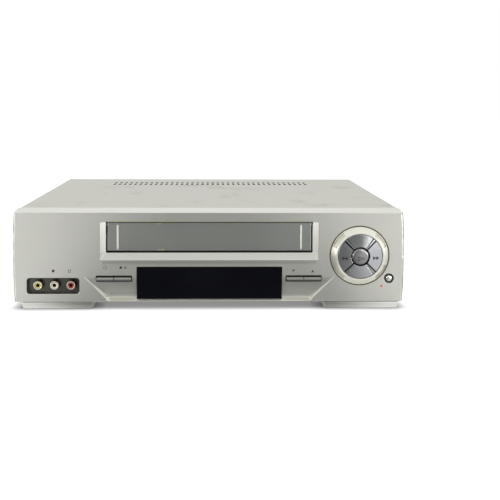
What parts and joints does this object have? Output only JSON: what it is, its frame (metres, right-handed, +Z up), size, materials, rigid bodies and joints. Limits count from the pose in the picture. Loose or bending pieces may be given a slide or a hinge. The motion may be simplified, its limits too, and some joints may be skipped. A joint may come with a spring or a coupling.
{
  "type": "video cassette recorder",
  "caption": "Front-loading video cassette recorder with a sloping silver front, cassette flap, dark display window, round keypad and a working tape deck inside.",
  "frame": {"origin": "centre of the base of the bounding box, on the surface that the feet stand on", "axes": "+X to the right of someone facing the front, +Y from the front to the back, +Z up"},
  "size_m": [0.38, 0.302, 0.098],
  "materials": {
    "silver_moulding": "silver metallic paint on a moulding",
    "flap_grey": "darker silver paint on a moulding",
    "cover_paint": "silver paint on folded steel",
    "foot_silver": "light silver moulding",
    "foot_rubber": "black rubber",
    "dark_glazing": "smoked gloss acrylic",
    "tube_glass": "grey-green glass envelope",
    "board_green": "circuit board lacquer",
    "black_moulding": "black moulding",
    "key_silver": "silver key",
    "dial_silver": "light silver ring",
    "dial_key": "grey silver key",
    "nickel": "nickel plating",
    "yellow_core": "yellow insulator",
    "white_core": "white insulator",
    "red_core": "red insulator",
    "screw_steel": "bright screw",
    "zinc_steel": "zinc-plated sheet",
    "transformer_iron": "varnished core",
    "aluminium": "turned aluminium",
    "deck_plastic": "black acetal",
    "worm_plastic": "white acetal",
    "roller_rubber": "smooth rubber",
    "guide_steel": "polished steel",
    "head_alloy": "lapped alloy"
  },
  "bodies": {
    "case": {"fascia": "silver_moulding", "display_window": "dark_glazing", "display_tube": "tube_glass", "front_board": "board_green", "key_switches": "black_moulding", "dial_ring": "dial_silver", "front_jack_shells": "nickel", "video_jack_core": "yellow_core", "left_jack_core": "white_core", "right_jack_core": "red_core", "top_cover": "cover_paint", "cover_screws": "screw_steel", "chassis": "zinc_steel", "front_foot_left": "foot_silver", "front_foot_right": "foot_silver", "rear_feet": "foot_rubber", "rear_panel": "zinc_steel", "wide_socket_left": "black_moulding", "wide_socket_right": "black_moulding", "aerial_unit": "zinc_steel", "aerial_sockets": "nickel", "rear_jack_holder": "black_moulding", "rear_jacks": "nickel", "mains_inlet": "black_moulding", "main_board": "board_green", "board_components": "black_moulding", "power_transformer": "transformer_iron", "heat_sink": "aluminium", "deck_plate": "zinc_steel", "bracket_right": "zinc_steel", "bracket_left": "zinc_steel", "drum_base": "aluminium", "erase_head": "head_alloy", "audio_control_head": "head_alloy", "loading_motor": "zinc_steel"},
    "standby_key": {"standby_key": "key_silver"},
    "stop_eject_key": {"stop_eject_key": "key_silver"},
    "channel_down_key": {"channel_down_key": "key_silver"},
    "channel_up_key": {"channel_up_key": "key_silver"},
    "forward_key": {"forward_key": "dial_key"},
    "upper_key": {"upper_key": "dial_key"},
    "rewind_key": {"rewind_key": "dial_key"},
    "lower_key": {"lower_key": "dial_key"},
    "play_key": {"play_key": "dial_key"},
    "record_key": {"record_key": "key_silver"},
    "cassette_flap": {"cassette_flap": "flap_grey"},
    "cassette_slide": {"cassette_slide": "zinc_steel"},
    "cassette_holder": {"cassette_holder": "zinc_steel"},
    "head_drum": {"head_drum": "aluminium"},
    "supply_reel": {"supply_reel": "deck_plastic"},
    "takeup_reel": {"takeup_reel": "deck_plastic"},
    "capstan": {"capstan": "zinc_steel"},
    "loading_gear": {"loading_gear": "deck_plastic"},
    "loading_worm": {"loading_worm": "worm_plastic"},
    "pinch_arm": {"pinch_arm": "zinc_steel"},
    "pinch_roller": {"pinch_roller": "roller_rubber"},
    "guide_right": {"guide_right": "guide_steel"},
    "guide_left": {"guide_left": "guide_steel"},
    "idler_arm": {"idler_arm": "zinc_steel"},
    "idler_wheel": {"idler_wheel": "roller_rubber"}
  },
  "joints": [
    {"name": "standby_press", "type": "slide", "parent": "case", "child": "standby_key", "axis": [0, 1, 0], "range_m": [0, 0.001], "stiffness_N_per_m": 400, "springref_m": -0.002},
    {"name": "stop_eject_press", "type": "slide", "parent": "case", "child": "stop_eject_key", "axis": [0, 1, 0], "range_m": [0, 0.001], "stiffness_N_per_m": 400, "springref_m": -0.002},
    {"name": "channel_down_press", "type": "slide", "parent": "case", "child": "channel_down_key", "axis": [0, 1, 0], "range_m": [0, 0.001], "stiffness_N_per_m": 400, "springref_m": -0.002},
    {"name": "channel_up_press", "type": "slide", "parent": "case", "child": "channel_up_key", "axis": [0, 1, 0], "range_m": [0, 0.001], "stiffness_N_per_m": 400, "springref_m": -0.002},
    {"name": "forward_press", "type": "slide", "parent": "case", "child": "forward_key", "axis": [0, 1, 0], "range_m": [0, 0.001], "stiffness_N_per_m": 400, "springref_m": -0.002},
    {"name": "upper_press", "type": "slide", "parent": "case", "child": "upper_key", "axis": [0, 1, 0], "range_m": [0, 0.001], "stiffness_N_per_m": 400, "springref_m": -0.002},
    {"name": "rewind_press", "type": "slide", "parent": "case", "child": "rewind_key", "axis": [0, 1, 0], "range_m": [0, 0.001], "stiffness_N_per_m": 400, "springref_m": -0.002},
    {"name": "lower_press", "type": "slide", "parent": "case", "child": "lower_key", "axis": [0, 1, 0], "range_m": [0, 0.001], "stiffness_N_per_m": 400, "springref_m": -0.002},
    {"name": "play_press", "type": "slide", "parent": "case", "child": "play_key", "axis": [0, 1, 0], "range_m": [0, 0.001], "stiffness_N_per_m": 400, "springref_m": -0.002},
    {"name": "record_press", "type": "slide", "parent": "case", "child": "record_key", "axis": [0, 1, 0], "range_m": [0, 0.001], "stiffness_N_per_m": 400, "springref_m": -0.002},
    {"name": "flap_hinge", "type": "hinge", "parent": "case", "child": "cassette_flap", "pos_m": [0, -0.13925, 0.0819], "axis": [1, 0, 0], "range_deg": [0, 85], "stiffness_Nm_per_rad": 0.02, "springref_deg": -20.05},
    {"name": "slide_run", "type": "slide", "parent": "case", "child": "cassette_slide", "axis": [0, 1, 0], "range_m": [-0.08, 0]},
    {"name": "holder_drop", "type": "slide", "parent": "cassette_slide", "child": "cassette_holder", "axis": [0, 0, -1], "range_m": [0, 0.02]},
    {"name": "drum_spin", "type": "hinge", "parent": "case", "child": "head_drum", "pos_m": [0, 0.066, 0.028], "axis": [0, 0.1028, 0.9947], "continuous": true},
    {"name": "supply_spin", "type": "hinge", "parent": "case", "child": "supply_reel", "pos_m": [-0.046, -0.0385, 0.029], "axis": [0, 0, 1], "continuous": true},
    {"name": "takeup_spin", "type": "hinge", "parent": "case", "child": "takeup_reel", "pos_m": [0.046, -0.0385, 0.029], "axis": [0, 0, 1], "continuous": true},
    {"name": "capstan_spin", "type": "hinge", "parent": "case", "child": "capstan", "pos_m": [0.062, 0.033, 0.028], "axis": [0, 0, 1], "continuous": true},
    {"name": "loading_turn", "type": "hinge", "parent": "case", "child": "loading_gear", "pos_m": [-0.076, 0.084, 0.0393], "axis": [0, 0, 1], "range_deg": [0, 170]},
    {"name": "worm_spin", "type": "hinge", "parent": "case", "child": "loading_worm", "pos_m": [-0.1008, 0.084, 0.0393], "axis": [0, 1, 0], "continuous": true},
    {"name": "pinch_swing", "type": "hinge", "parent": "case", "child": "pinch_arm", "pos_m": [0.08, 0.01, 0.0283], "axis": [0, 0, 1], "range_deg": [-28, 0]},
    {"name": "pinch_roll", "type": "hinge", "parent": "pinch_arm", "child": "pinch_roller", "pos_m": [0.05574, 0.01341, 0.0413], "axis": [0, 0, 1], "continuous": true},
    {"name": "guide_right_run", "type": "slide", "parent": "case", "child": "guide_right", "axis": [0.307, 0.9517, 0], "range_m": [0, 0.06515]},
    {"name": "guide_left_run", "type": "slide", "parent": "case", "child": "guide_left", "axis": [-0.307, 0.9517, 0], "range_m": [0, 0.06515]},
    {"name": "idler_swing", "type": "hinge", "parent": "case", "child": "idler_arm", "pos_m": [0, -0.018, 0.0283], "axis": [0, 0, 1], "range_deg": [-21, 21]},
    {"name": "idler_spin", "type": "hinge", "parent": "idler_arm", "child": "idler_wheel", "pos_m": [0, -0.04, 0.0298], "axis": [0, 0, 1], "continuous": true}
  ],
  "couplings": [
    {"joint": "guide_right_run", "follows": "loading_turn", "m_per_rad": 0.021954},
    {"joint": "guide_left_run", "follows": "loading_turn", "m_per_rad": 0.021954},
    {"joint": "pinch_swing", "follows": "loading_turn", "ratio": -0.1647},
    {"joint": "worm_spin", "follows": "loading_turn", "ratio": 36}
  ]
}
